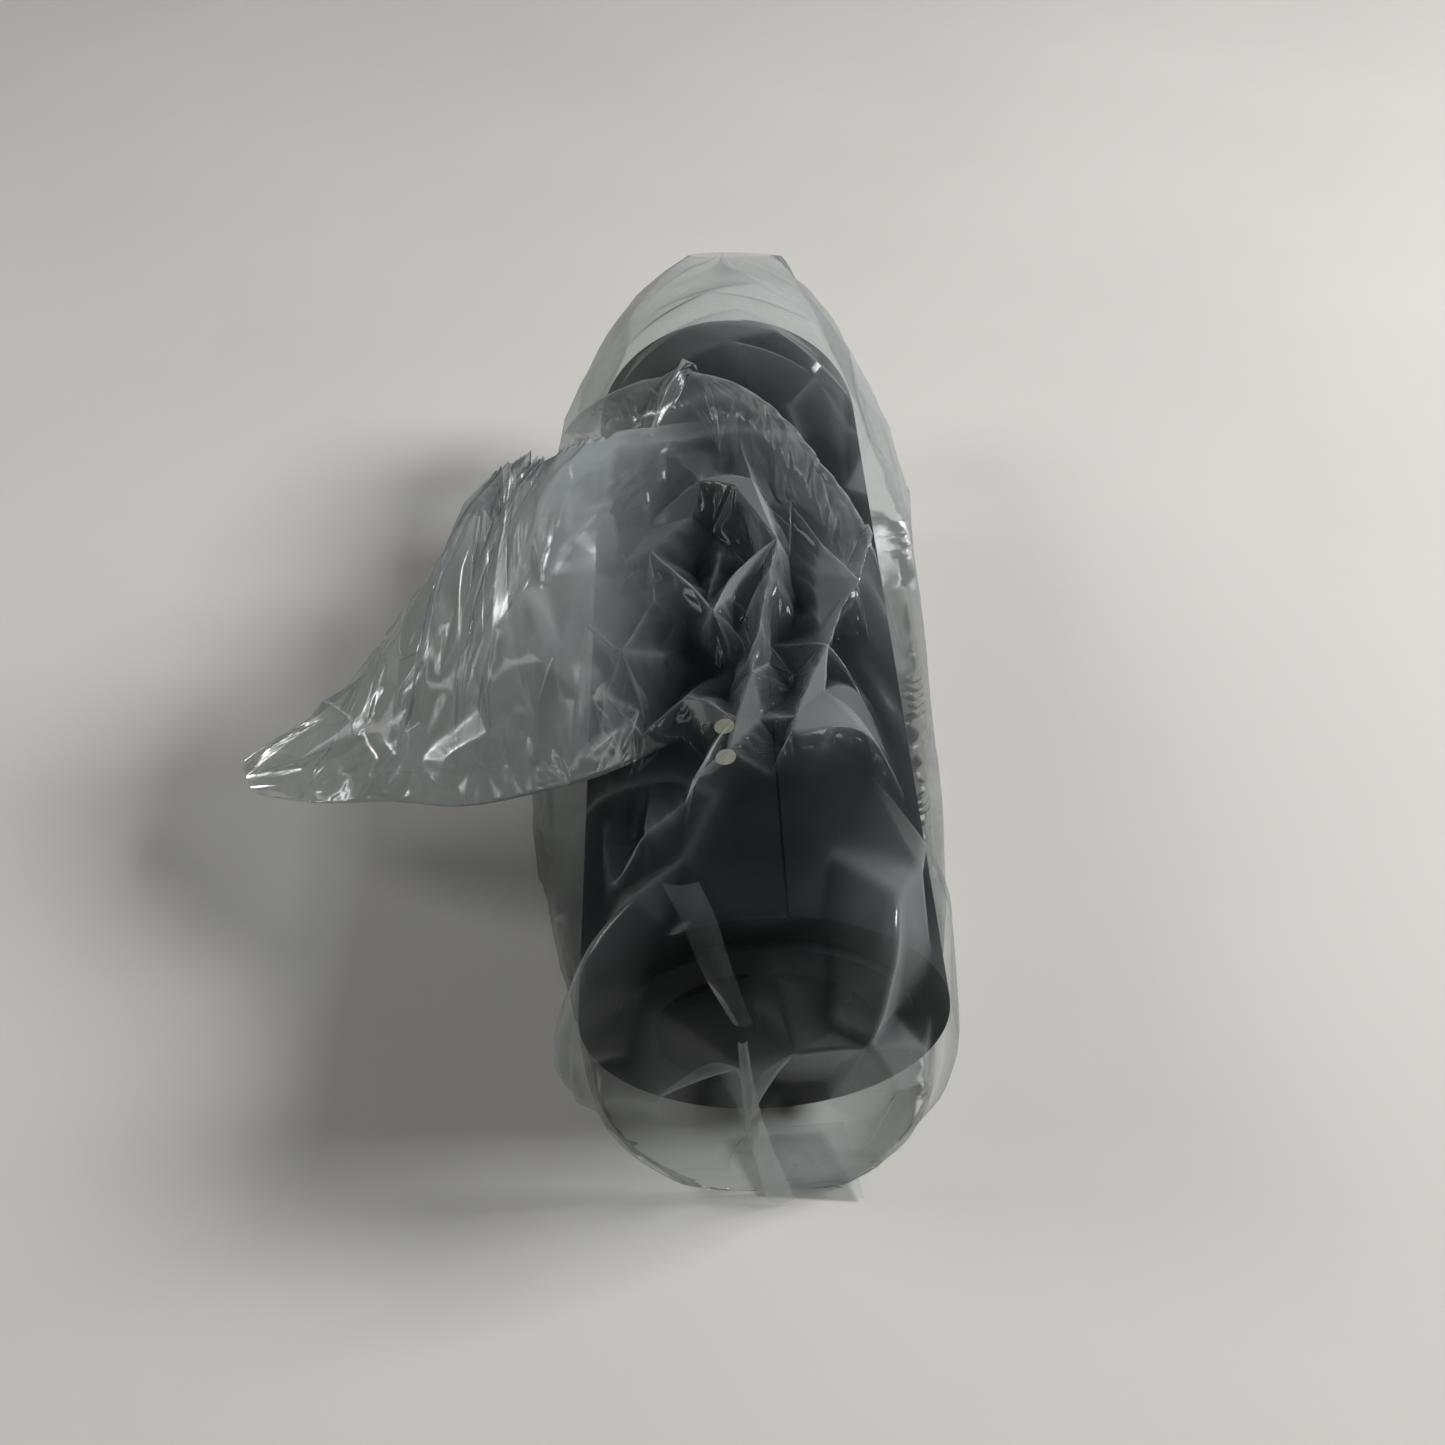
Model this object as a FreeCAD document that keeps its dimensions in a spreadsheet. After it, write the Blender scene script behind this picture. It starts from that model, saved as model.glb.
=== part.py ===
"""A short roll of black backdrop paper, packed in a loose polythene bag.

The roll lies on its side along Y on the floor plane Z = 0, with X across it and
+Z up.  The origin is on the rest face under the middle of the roll.  The bag's
closed end is at +Y, and its spare mouth length is folded back over the roll
from -Y and flops out to -X as a flap.  Sizes are in millimetres.
"""
import FreeCAD, Part
import math
import os

import Sketcher

V = FreeCAD.Vector
ACROSS, ALONG, UP = V(1, 0, 0), V(0, 1, 0), V(0, 0, 1)

DIMENSIONS = {
    # the roll
    "roll_length": 155.0,
    "winding_diameter": 58.4,
    "core_bore": 38.0,
    "core_wall": 2.2,
    "core_setback": 0.6,
    "winding_chamfer": 0.8,
    # the last lap of the sheet, with its free edge near the top
    "lap_thickness": 0.3,
    "lap_edge_across": 3.0,
    "lap_edge_gap": 1.2,
    # the glue dots that hold the free edge
    "seal_radius": 1.6,
    "seal_thickness": 0.15,
    "seal_across": -5.0,
    "seal_first": -47.0,
    "seal_pitch": 6.5,
    # the moulded plugs in the core's ends
    "plug_flange_diameter": 47.0,
    "plug_flange_thickness": 1.6,
    "plug_depth": 13.0,
    "plug_wall": 1.5,
    "plug_clearance": 0.05,
    "plug_rib_width": 1.6,
    "plug_rib_height": 3.0,
    "plug_ribs": 6,
    # the bag: a thick stand-in for film that is about 0.05 thick
    "film_wall": 0.5,
    "film_gap": 0.4,
    "bag_foot": 70.0,
    "plug_room": 5.0,
    "far_taper": 20.0,
    "far_seam_width": 46.0,
    "far_seam_thickness": 3.0,
    "far_seam_height": 53.0,
    "far_ear_length": 7.0,
    "far_ear_width": 26.0,
    "near_taper": 9.0,
    "near_seam_width": 50.0,
    "near_seam_thickness": 2.4,
    "near_ear_length": 6.0,
    "near_ear_width": 20.0,
    "near_ear_across": 7.0,
    # the mouth folded back over the top
    "fold_reach": 106.0,
    "fold_half_angle": 62.0,
    "fold_wall": 1.0,
    # the flap in the air
    "flap_hinge_across": -31.0,
    "flap_hinge_height": 50.0,
    "flap_root_width": 60.0,
    "flap_root_thickness": 5.0,
    "flap_root_middle": -6.0,
    "flap_start": 2.0,
    "flap_length": 72.0,
    "flap_tip_width": 16.0,
    "flap_tip_thickness": 1.6,
    "flap_tip_shift": -3.0,
    "flap_droop": 23.0,
}

doc = FreeCAD.newDocument("backdrop_roll")
sheet = doc.addObject("Spreadsheet::Sheet", "dims")
for row, (alias, size) in enumerate(DIMENSIONS.items(), start=1):
    sheet.set(f"A{row}", alias)
    sheet.set(f"B{row}", str(size))
    sheet.setAlias(f"B{row}", alias)
doc.recompute()


def dim(alias):
    """The sheet's value for one driving dimension."""
    return float(getattr(sheet, alias))


def bind(thing, **sizes):
    """Bind properties of an object to expressions that read the sheet."""
    for name, expression in sizes.items():
        thing.setExpression(name, expression)


def origin_plane(body, role):
    """One of a body's own origin planes, by its role."""
    return next(f for f in body.Origin.OriginFeatures if f.Role == role)


def new_body(label):
    body = doc.addObject("PartDesign::Body", label)
    body.Label = label
    return body


def new_sketch(body, name, role, offset=None):
    """A sketch on one of the body's origin planes, optionally set off along its normal."""
    sketch = body.newObject("Sketcher::SketchObject", name)
    sketch.AttachmentSupport = [(origin_plane(body, role), "")]
    sketch.MapMode = "FlatFace"
    if offset:
        sketch.setExpression("AttachmentOffset.Base.z", offset)
    return sketch


def add_circle(sketch, diameter):
    """A circle about the sketch's origin whose diameter is bound to the sheet."""
    number = sketch.addGeometry(Part.Circle(V(0, 0, 0), UP, 10.0), False)
    sketch.addConstraint(Sketcher.Constraint("Coincident", number, 3, -1, 1))
    size = sketch.addConstraint(Sketcher.Constraint("Diameter", number, 20.0 + number))
    sketch.setExpression(f"Constraints[{size}]", diameter)


def add_rectangle(sketch, left, right, low, high):
    """A rectangle bound to four expressions for its sides."""
    corners = [V(1, 1, 0), V(2, 1, 0), V(2, 2, 0), V(1, 2, 0)]
    ends = zip(corners, corners[1:] + corners[:1])
    first = sketch.addGeometry([Part.LineSegment(a, b) for a, b in ends], False)[0]
    for side in range(4):
        after = first + (side + 1) % 4
        sketch.addConstraint(Sketcher.Constraint("Coincident", first + side, 2, after, 1))
    for kind, side in (("Horizontal", 0), ("Vertical", 1), ("Horizontal", 2), ("Vertical", 3)):
        sketch.addConstraint(Sketcher.Constraint(kind, first + side))
    places = (("DistanceX", 0, left), ("DistanceX", 1, right), ("DistanceY", 1, low), ("DistanceY", 2, high))
    for kind, corner, expression in places:
        size = sketch.addConstraint(Sketcher.Constraint(kind, -1, 1, first + corner, 1, 1.5))
        sketch.setExpression(f"Constraints[{size}]", expression)


def pad(body, sketch, length, both_ways=False):
    """A pad of a sketch, one way along its normal or half each way."""
    feature = body.newObject("PartDesign::Pad", sketch.Name + "_pad")
    feature.Profile = sketch
    feature.setExpression("Length", length)
    feature.Midplane = both_ways
    doc.recompute()
    body.Tip = feature
    return feature


def solid_feature(label, shape, place=None):
    """A document object for a shape that no workbench feature makes directly."""
    feature = doc.addObject("Part::Feature", label)
    feature.Label = label
    feature.Shape = shape
    if place:
        feature.Placement = place
    return feature


# ---------------------------------------------------------------- shared sizes

half_length = dim("roll_length") / 2
winding_radius = dim("winding_diameter") / 2
roll_radius = winding_radius + dim("lap_thickness") + dim("seal_thickness")
bag_inner_radius = roll_radius + dim("film_gap")
bag_outer_radius = bag_inner_radius + dim("film_wall")
axis_height = bag_outer_radius
bag_half_length = half_length + dim("plug_flange_thickness") + dim("plug_room")
roll_place = FreeCAD.Placement(V(0, 0, axis_height), FreeCAD.Rotation())


# ---------------------------------------------------------------- the roll

def make_core_tube():
    """The wound cardboard core, a little shorter than the paper at both ends."""
    body = new_body("core_tube")
    section = new_sketch(body, "core_section", "XZ_Plane")
    add_circle(section, "dims.core_bore")
    add_circle(section, "dims.core_bore + 2 * dims.core_wall")
    pad(body, section, "dims.roll_length - 2 * dims.core_setback", both_ways=True)
    body.Placement = roll_place
    return body


def make_paper_winding():
    """All laps but the last, wound on the core, with softened end corners."""
    body = new_body("paper_winding")
    section = new_sketch(body, "winding_section", "XZ_Plane")
    add_circle(section, "dims.core_bore + 2 * dims.core_wall")
    add_circle(section, "dims.winding_diameter")
    winding = pad(body, section, "dims.roll_length", both_ways=True)
    rims = [
        f"Edge{number}"
        for number, edge in enumerate(winding.Shape.Edges, start=1)
        if hasattr(edge.Curve, "Radius") and edge.Curve.Radius > winding_radius - 0.1
        and abs(edge.BoundBox.YMax - edge.BoundBox.YMin) < 0.1
    ]
    corner = body.newObject("PartDesign::Chamfer", "winding_corners")
    corner.Base = (winding, rims)
    bind(corner, Size="dims.winding_chamfer")
    doc.recompute()
    body.Tip = corner
    body.Placement = roll_place
    return body


def make_outer_lap():
    """The last lap: a thin shell that stops short of itself at the sheet's free edge."""
    ring = doc.addObject("Part::Cylinder", "lap_outside")
    bind(ring, Radius="dims.winding_diameter / 2 + dims.lap_thickness",
         Height="dims.roll_length - 2 * dims.winding_chamfer")
    hollow = doc.addObject("Part::Cylinder", "lap_inside")
    bind(hollow, Radius="dims.winding_diameter / 2", Height="dims.roll_length")
    shell = doc.addObject("Part::Cut", "lap_shell")
    shell.Base, shell.Tool = ring, hollow
    slot = doc.addObject("Part::Box", "lap_slot")
    bind(slot, Length="dims.lap_edge_gap", Width="dims.winding_diameter",
         Height="dims.roll_length")
    slot.Placement.Base = V(dim("lap_edge_across"), 0, 0)
    lap = doc.addObject("Part::Cut", "paper_outer_lap")
    lap.Label = "paper_outer_lap"
    lap.Base, lap.Tool = shell, slot
    lap_half = half_length - dim("winding_chamfer")
    # the cylinders stand along Z, so this turn lays them along Y with the slot on top
    lap.Placement = FreeCAD.Placement(V(0, lap_half, axis_height), FreeCAD.Rotation(ACROSS, 90))
    return lap


def make_tail_seals():
    """Two round glue dots pressed onto the outer lap just inside its free edge."""
    inner = winding_radius + dim("lap_thickness")
    skin = Part.makeCylinder(inner + dim("seal_thickness"), dim("roll_length"), V(0, -half_length, 0), ALONG)
    skin = skin.cut(Part.makeCylinder(inner, dim("roll_length"), V(0, -half_length, 0), ALONG))
    dots = []
    for number in range(2):
        along = dim("seal_first") + number * dim("seal_pitch")
        post = Part.makeCylinder(dim("seal_radius"), winding_radius * 2, V(dim("seal_across"), along, 0), UP)
        dots.append(skin.common(post).Solids[0])
    return solid_feature("tail_seals", Part.makeCompound(dots), roll_place)


def make_end_plug(label, way):
    """A moulded cup plug: flange, thin cup down the bore and crossed ribs inside it."""
    body = new_body(label)
    flange = new_sketch(body, label + "_flange", "XZ_Plane")
    add_circle(flange, "dims.plug_flange_diameter")
    pad(body, flange, "dims.plug_flange_thickness")
    cup = new_sketch(body, label + "_cup", "XZ_Plane")
    add_circle(cup, "dims.core_bore - 2 * dims.plug_clearance")
    spigot = pad(body, cup, "dims.plug_depth")
    spigot.Reversed = True
    doc.recompute()
    hollow = new_sketch(body, label + "_hollow", "XZ_Plane", "dims.plug_flange_thickness")
    add_circle(hollow, "dims.core_bore - 2 * dims.plug_clearance - 2 * dims.plug_wall")
    pocket = body.newObject("PartDesign::Pocket", label + "_pocket")
    pocket.Profile = hollow
    bind(pocket, Length="dims.plug_depth + dims.plug_flange_thickness - dims.plug_wall")
    doc.recompute()
    body.Tip = pocket
    rib = new_sketch(body, label + "_rib", "XZ_Plane", "dims.plug_wall - dims.plug_depth")
    add_rectangle(
        rib,
        "-dims.plug_rib_width / 2",
        "dims.plug_rib_width / 2",
        "-0.1 mm",
        "dims.core_bore / 2 - dims.plug_clearance - dims.plug_wall / 2",
    )
    rib_pad = pad(body, rib, "dims.plug_rib_height")
    spokes = body.newObject("PartDesign::PolarPattern", label + "_spokes")
    spokes.Originals = [rib_pad]
    spokes.Axis = (rib, ["N_Axis"])
    spokes.Angle = 360
    bind(spokes, Occurrences="dims.plug_ribs")
    doc.recompute()
    body.Tip = spokes
    turn = FreeCAD.Rotation(UP, 0 if way < 0 else 180)
    body.Placement = FreeCAD.Placement(V(0, way * half_length, axis_height), turn)
    return body


# ---------------------------------------------------------------- the bag

def bag_section(radius, foot, floor, along):
    """A closed wire round the roll: a flat foot, leaning sides and a round top."""
    reach = math.hypot(foot, axis_height - floor)
    lean = math.acos(radius / reach) + math.atan2(foot, axis_height - floor)
    touch = V(radius * math.sin(lean), along, axis_height - radius * math.cos(lean))
    mirror = V(-touch.x, along, touch.z)
    left, right = V(-foot, along, floor), V(foot, along, floor)
    top = V(0, along, axis_height + radius)
    return Part.Wire([
        Part.LineSegment(left, right).toShape(),
        Part.LineSegment(right, touch).toShape(),
        Part.Arc(touch, top, mirror).toShape(),
        Part.LineSegment(mirror, left).toShape(),
    ])


def lens_section(width, thickness, height, along):
    """A flat wire with the bag section's four sides, for the seam that it tapers to."""
    half, low = width / 2, height - thickness / 2
    left, right = V(-half, along, low), V(half, along, low)
    touch, mirror = V(half * 0.9, along, low + thickness * 0.6), V(-half * 0.9, along, low + thickness * 0.6)
    return Part.Wire([
        Part.LineSegment(left, right).toShape(),
        Part.LineSegment(right, touch).toShape(),
        Part.Arc(touch, V(0, along, low + thickness), mirror).toShape(),
        Part.LineSegment(mirror, left).toShape(),
    ])


def bag_wires(along):
    """The outer and inner sections of the film round the roll at one place."""
    wall, foot = dim("film_wall"), dim("bag_foot") / 2
    return (
        bag_section(bag_outer_radius, foot, 0, along),
        bag_section(bag_inner_radius, foot - 2 * wall, wall, along),
    )


def make_bag_tube():
    """The film round the roll, open at both ends."""
    outer, inner = bag_wires(-bag_half_length)
    ring = Part.makeFace([outer, inner], "Part::FaceMakerBullseye")
    return solid_feature("bag_tube", ring.extrude(ALONG * 2 * bag_half_length))


def tapered_end(label, way, taper, width, thickness, height, ear):
    """The film closing one end of the tube: a hollow taper down to a flat seam, and its ear."""
    wall = dim("film_wall")
    start, stop = way * bag_half_length, way * (bag_half_length + taper)
    outer, inner = bag_wires(start)
    outside = Part.makeLoft([outer, lens_section(width, thickness, height, stop)], True, True)
    inner_stop = stop - way * 2 * wall
    lens = lens_section(width - 4 * wall, thickness - 2 * wall, height, inner_stop)
    inside = Part.makeLoft([inner, lens], True, True)
    return solid_feature(label, outside.cut(inside).fuse(ear).removeSplitter())


def flat_ear(across, width, along, length, height, thickness, way):
    """A flat strip of film that stands out past a seam."""
    near = min(along, along + way * length)
    return Part.makeBox(width, length, thickness, V(across - width / 2, near, height - thickness / 2))


def make_bag_far_end():
    height, thickness = dim("far_seam_height"), dim("far_seam_thickness")
    end = bag_half_length + dim("far_taper")
    ear = flat_ear(0, dim("far_ear_width"), end, dim("far_ear_length"), height, thickness / 2, 1)
    return tapered_end("bag_far_end", 1, dim("far_taper"), dim("far_seam_width"), thickness, height, ear)


def make_bag_near_end():
    thickness = dim("near_seam_thickness")
    height = thickness / 2
    end = -bag_half_length - dim("near_taper")
    ear = flat_ear(dim("near_ear_across"), dim("near_ear_width"), end, dim("near_ear_length"),
                   height, thickness / 2, -1)
    return tapered_end("bag_near_end", -1, dim("near_taper"), dim("near_seam_width"), thickness, height, ear)


def rim_point(radius, angle):
    """A point round the roll's axis at the near end of the tube, by its angle from the top."""
    turn = math.radians(angle)
    return V(radius * math.sin(turn), -bag_half_length, axis_height + radius * math.cos(turn))


def make_bag_fold_over():
    """The spare mouth length, laid back over the top of the tube as a second skin."""
    spread = dim("fold_half_angle")
    inner, outer = bag_outer_radius, bag_outer_radius + dim("fold_wall")
    edge = Part.Wire([
        Part.Arc(*(rim_point(inner, angle) for angle in (-spread, 0, spread))).toShape(),
        Part.LineSegment(rim_point(inner, spread), rim_point(outer, spread)).toShape(),
        Part.Arc(*(rim_point(outer, angle) for angle in (spread, 0, -spread))).toShape(),
        Part.LineSegment(rim_point(outer, -spread), rim_point(inner, -spread)).toShape(),
    ])
    return solid_feature("bag_fold_over", Part.Face(edge).extrude(ALONG * dim("fold_reach")))


def make_bag_flap():
    """The flopped mouth of the bag: a wedge from the fold's edge down to a blunt tip."""
    start, length = dim("flap_start"), dim("flap_length")

    def across(distance, width, thickness, shift):
        half, low = width / 2, thickness / 2
        points = [
            V(-distance, shift - half, -low), V(-distance, shift + half, -low),
            V(-distance, shift + half, low), V(-distance, shift - half, low),
        ]
        return Part.makePolygon(points + points[:1])

    root = across(start, dim("flap_root_width"), dim("flap_root_thickness"), 0)
    tip = across(length, dim("flap_tip_width"), dim("flap_tip_thickness"), dim("flap_tip_shift"))
    place = FreeCAD.Placement(
        V(dim("flap_hinge_across"), dim("flap_root_middle"), dim("flap_hinge_height")),
        FreeCAD.Rotation(ALONG, -dim("flap_droop")),
    )
    return solid_feature("bag_mouth_flap", Part.makeLoft([root, tip], True, True), place)


nodes = [
    make_core_tube(),
    make_paper_winding(),
    make_outer_lap(),
    make_tail_seals(),
    make_end_plug("end_plug_front", -1),
    make_end_plug("end_plug_rear", 1),
    make_bag_tube(),
    make_bag_far_end(),
    make_bag_near_end(),
    make_bag_fold_over(),
    make_bag_flap(),
]
doc.recompute()

for thing in doc.Objects:
    bad = {"Invalid", "Error"} & set(thing.State)
    if bad:
        raise RuntimeError(f"{thing.Name} is {', '.join(bad)}")

os.makedirs("parts", exist_ok=True)
for node in nodes:
    shape = node.Shape
    if shape.isNull() or not shape.isValid():
        raise RuntimeError(f"{node.Label} has no valid shape")
    shape.exportStep(f"parts/{node.Label}.step")
    box = shape.BoundBox
    print(f"{node.Label:18s} {shape.Volume:10.1f} mm3, {len(shape.Solids)} solid(s), "
          f"X {box.XMin:7.2f}..{box.XMax:7.2f}  Y {box.YMin:7.2f}..{box.YMax:7.2f}  "
          f"Z {box.ZMin:6.2f}..{box.ZMax:6.2f}")
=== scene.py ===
import math

import bpy
import numpy as np
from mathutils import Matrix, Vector
from mathutils.geometry import delaunay_2d_cdt


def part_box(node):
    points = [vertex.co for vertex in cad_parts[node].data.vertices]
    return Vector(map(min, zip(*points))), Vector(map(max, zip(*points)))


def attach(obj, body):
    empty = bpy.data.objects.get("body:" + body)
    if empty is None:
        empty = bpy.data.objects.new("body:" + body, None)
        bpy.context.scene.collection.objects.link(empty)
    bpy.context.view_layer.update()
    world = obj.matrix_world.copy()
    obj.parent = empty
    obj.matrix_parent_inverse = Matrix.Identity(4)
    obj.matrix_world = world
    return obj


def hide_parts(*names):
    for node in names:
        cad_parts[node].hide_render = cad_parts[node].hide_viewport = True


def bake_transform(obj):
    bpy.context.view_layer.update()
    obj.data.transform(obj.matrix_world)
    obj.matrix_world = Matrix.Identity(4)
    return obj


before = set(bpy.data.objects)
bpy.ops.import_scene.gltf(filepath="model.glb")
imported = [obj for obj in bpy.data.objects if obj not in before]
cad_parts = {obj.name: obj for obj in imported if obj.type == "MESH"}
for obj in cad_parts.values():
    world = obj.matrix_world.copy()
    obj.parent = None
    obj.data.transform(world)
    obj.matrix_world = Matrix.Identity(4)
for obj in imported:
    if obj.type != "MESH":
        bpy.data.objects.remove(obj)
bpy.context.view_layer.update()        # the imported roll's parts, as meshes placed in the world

bl_info = {
    "name": "Bagged backdrop roll",
    "version": (1, 0, 0),
    "blender": (4, 5, 0),
    "location": "View3D > Sidebar > Backdrop roll",
    "description": "Builds a short black paper roll on its core, inside a crumpled polythene bag",
    "category": "Add Mesh",
}

MM = 0.001


def middle(node):
    low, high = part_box(node)
    return (low + high) / 2


CORE_LOW, CORE_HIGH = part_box("core_tube")
WINDING_LOW, WINDING_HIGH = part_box("paper_winding")
LAP_LOW, LAP_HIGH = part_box("paper_outer_lap")
AXIS_HEIGHT = middle("paper_winding").z
HALF_LENGTH = WINDING_HIGH.y
CAMERA_PLACE = (-0.0105, -0.1902, 0.227)
CAMERA_PAN = math.radians(2)
PAPER_RADIUS = 29.6      # from here on the sizes are in millimetres
FILM_REACH = 30.3        # film lying flush on the roll
BODY_RADIUS = 30.9       # the folded mouth where it lies flush on that film
FADE_DEPTH = 4           # standoff over which milkiness builds up
SHINE_DEPTH = 3          # standoff over which the shine builds up
FLUSH_SHINE = 0.15       # share of the shine left where film lies flush
FAR_START, FAR_SPAN = 38, 45     # where the loose far end begins, and how long it takes to build up
NEAR_START, NEAR_SPAN = -66, 10  # the same for the film down the near end


# ---------------------------------------------------------------- settings

class RollSettings(bpy.types.PropertyGroup):
    """Sizes and colours of the paper, the core and the plugs."""
    paper_colour: bpy.props.FloatVectorProperty(
        name="Paper", description="Colour of the dyed paper", subtype="COLOR",
        size=3, min=0, max=1, default=(0.006, 0.007, 0.010))
    wound_laps: bpy.props.IntProperty(
        name="Laps", description="Laps that show as rings on the wound ends", default=14, min=4)
    lap_step: bpy.props.FloatProperty(
        name="Lap step", description="How unevenly the laps end", default=0.00005,
        unit="LENGTH")
    board_colour: bpy.props.FloatVectorProperty(
        name="Core board", description="Colour of the wound card", subtype="COLOR",
        size=3, min=0, max=1, default=(0.36, 0.25, 0.15))
    plug_colour: bpy.props.FloatVectorProperty(
        name="Plug", description="Colour of the moulded plugs", subtype="COLOR",
        size=3, min=0, max=1, default=(0.006, 0.007, 0.010))
    glue_colour: bpy.props.FloatVectorProperty(
        name="Glue", description="Colour of the glue dots", subtype="COLOR",
        size=3, min=0, max=1, default=(0.36, 0.34, 0.27))


class FilmSettings(bpy.types.PropertyGroup):
    """Finish of the polythene film."""
    tint: bpy.props.FloatVectorProperty(
        name="Film tint", description="Colour of the milky share of the film",
        subtype="COLOR", size=3, min=0, max=1, default=(0.54, 0.585, 0.59))
    haze: bpy.props.FloatProperty(
        name="Haze", description="Milkiness of film that stands off the paper",
        subtype="FACTOR", default=0.13, min=0, max=1)
    gloss_roughness: bpy.props.FloatProperty(
        name="Gloss roughness", description="Roughness of the film's shine",
        subtype="FACTOR", default=0.15, min=0, max=1)
    crease_haze: bpy.props.FloatProperty(
        name="Crease haze", description="Milkiness of a sharp crease", subtype="FACTOR",
        default=0.22, min=0, max=1)
    gloss: bpy.props.FloatProperty(
        name="Gloss", description="Share of the film's shine", subtype="FACTOR",
        default=0.6, min=0, max=1)


class StageSettings(bpy.types.PropertyGroup):
    """The floor and the camera."""
    floor_colour: bpy.props.FloatVectorProperty(
        name="Floor", description="Colour of the pale sweep", subtype="COLOR",
        size=3, min=0, max=1, default=(0.66, 0.65, 0.62))
    camera_tilt: bpy.props.FloatProperty(
        name="Camera tilt", description="How far the camera looks down",
        subtype="ANGLE", default=math.radians(48))
    lens: bpy.props.FloatProperty(
        name="Lens", description="Focal length on a 36 mm sensor, in mm", default=34.9)


# ---------------------------------------------------------------- mesh helpers

def mesh_object(name, points, faces, smooth=True):
    mesh = bpy.data.meshes.new(name)
    mesh.from_pydata([tuple(p) for p in points], [], faces)
    mesh.validate()
    if smooth:
        mesh.shade_smooth()
    thing = bpy.data.objects.new(name, mesh)
    bpy.context.scene.collection.objects.link(thing)
    return thing


def grid_faces(rows, columns, closed=False):
    """Quads of a grid of points stored row by row; closed joins the last column to the first."""
    faces = []
    last = columns if closed else columns - 1
    for row in range(rows - 1):
        for column in range(last):
            after = (column + 1) % columns
            faces.append((row * columns + column, row * columns + after,
                          (row + 1) * columns + after, (row + 1) * columns + column))
    return faces


def catmull(control, count):
    """Points along a smooth curve through control points, along the first axis of an array."""
    control = np.asarray(control, float)
    padded = np.concatenate([2 * control[:1] - control[1:2], control, 2 * control[-1:] - control[-2:-1]])
    places = np.linspace(0, len(control) - 1, count)
    span = np.minimum(places.astype(int), len(control) - 2)
    share = (places - span).reshape((-1,) + (1,) * (control.ndim - 1))
    a, b, c, d = (padded[span + k] for k in range(4))
    return 0.5 * (2 * b + (c - a) * share + (2 * a - 5 * b + 4 * c - d) * share ** 2
                  + (3 * b - a - 3 * c + d) * share ** 3)


def surface_through(control, rows, columns):
    """A smooth grid of points through a coarse grid of control points."""
    across = catmull(control, rows)
    return catmull(across.transpose(1, 0, 2), columns).transpose(1, 0, 2)


# ---------------------------------------------------------------- materials

def new_material(name):
    material = bpy.data.materials.new(name)
    material.use_nodes = True
    nodes = material.node_tree.nodes
    nodes.clear()
    output = nodes.new("ShaderNodeOutputMaterial")
    return material, nodes, material.node_tree.links, output


def add_noise(nodes, links, scale, detail, stretch=(1, 1, 1)):
    place = nodes.new("ShaderNodeTexCoord")
    mapping = nodes.new("ShaderNodeMapping")
    mapping.inputs["Scale"].default_value = stretch
    noise = nodes.new("ShaderNodeTexNoise")
    noise.inputs["Scale"].default_value = scale
    noise.inputs["Detail"].default_value = detail
    links.new(place.outputs["Object"], mapping.inputs["Vector"])
    links.new(mapping.outputs["Vector"], noise.inputs["Vector"])
    return noise


def add_ramp(nodes, links, source, *stops):
    ramp = nodes.new("ShaderNodeValToRGB")
    elements = ramp.color_ramp.elements
    while len(elements) < len(stops):
        elements.new(0.5)
    for element, (position, colour) in zip(elements, stops):
        element.position = position
        element.color = (*colour, 1) if len(colour) == 3 else (colour[0],) * 3 + (1,)
    links.new(source, ramp.inputs["Fac"])
    return ramp


def add_bump(nodes, links, source, strength, distance):
    bump = nodes.new("ShaderNodeBump")
    bump.inputs["Strength"].default_value = strength
    bump.inputs["Distance"].default_value = distance
    links.new(source, bump.inputs["Height"])
    return bump


def shaded(colour, factor):
    return tuple(min(1.0, channel * factor) for channel in colour)


def solid_material(name, colour, spread, scale, stretch, roughness, bump_depth, specular=0.4):
    """A plain dyed or moulded solid: mottled colour, uneven roughness and a fine relief."""
    material, nodes, links, output = new_material(name)
    shader = nodes.new("ShaderNodeBsdfPrincipled")
    shader.inputs["Specular IOR Level"].default_value = specular
    links.new(shader.outputs["BSDF"], output.inputs["Surface"])
    mottle = add_noise(nodes, links, scale, 6, stretch)
    tone = add_ramp(nodes, links, mottle.outputs["Fac"],
                    (0.3, shaded(colour, 1 - spread)), (0.7, shaded(colour, 1 + spread)))
    links.new(tone.outputs["Color"], shader.inputs["Base Color"])
    rough = add_ramp(nodes, links, mottle.outputs["Fac"], (0.25, (roughness[0],)), (0.75, (roughness[1],)))
    links.new(rough.outputs["Color"], shader.inputs["Roughness"])
    grain = add_noise(nodes, links, scale * 6, 4, stretch)
    bump = add_bump(nodes, links, grain.outputs["Fac"], 0.5, bump_depth)
    links.new(bump.outputs["Normal"], shader.inputs["Normal"])
    return material


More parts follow.
